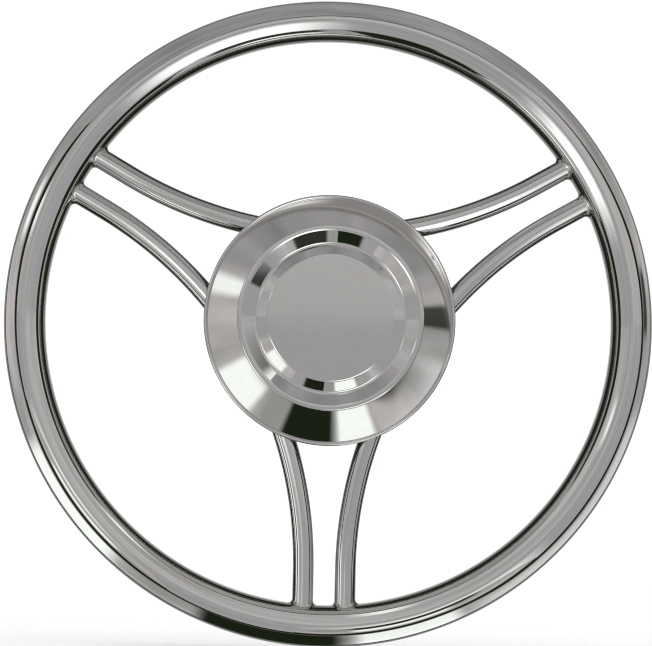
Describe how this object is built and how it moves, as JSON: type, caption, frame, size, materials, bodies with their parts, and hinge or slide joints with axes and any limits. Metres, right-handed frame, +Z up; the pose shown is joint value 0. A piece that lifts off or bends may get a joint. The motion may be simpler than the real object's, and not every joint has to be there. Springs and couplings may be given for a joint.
{
  "type": "boat steering wheel",
  "caption": "Round boat steering wheel of polished steel tube with paired curved spokes, a pressed centre cap and a tapered hub for the helm shaft.",
  "frame": {"origin": "the wheel's centre: on the shaft axis, in the middle plane of the rim tube and of the spokes", "axes": "+Y along the shaft axis, from the cap side towards the helm; +Z up, with one pair of spokes straight down along -Z; +X to the right of a person who faces the cap"},
  "size_m": [0.3937, 0.0606, 0.3936],
  "materials": {
    "polished_stainless": "polished",
    "satin_stainless": "satin",
    "weld_metal": "satin",
    "fastener_stainless": "satin"
  },
  "bodies": {
    "root": {"rim_tube": "polished_stainless", "spoke_bow_top": "polished_stainless", "spoke_bow_right": "polished_stainless", "spoke_bow_left": "polished_stainless", "cap_shell": "polished_stainless", "rim_weld_upper_right": "weld_metal", "rim_weld_lower_right": "weld_metal", "rim_weld_bottom_right": "weld_metal", "rim_weld_bottom_left": "weld_metal", "rim_weld_lower_left": "weld_metal", "rim_weld_upper_left": "weld_metal", "bow_weld_top_inner": "weld_metal", "bow_weld_top_outer": "weld_metal", "bow_weld_right_inner": "weld_metal", "bow_weld_right_outer": "weld_metal", "bow_weld_left_inner": "weld_metal", "bow_weld_left_outer": "weld_metal", "hub_weld_front": "weld_metal", "hub_weld_rear": "weld_metal", "hub_plate": "satin_stainless", "hub_boss": "satin_stainless", "cap_post_bottom": "fastener_stainless", "cap_post_left": "fastener_stainless", "cap_post_right": "fastener_stainless", "cap_screws": "fastener_stainless", "cap_lock_washers": "fastener_stainless"}
  },
  "joints": []
}
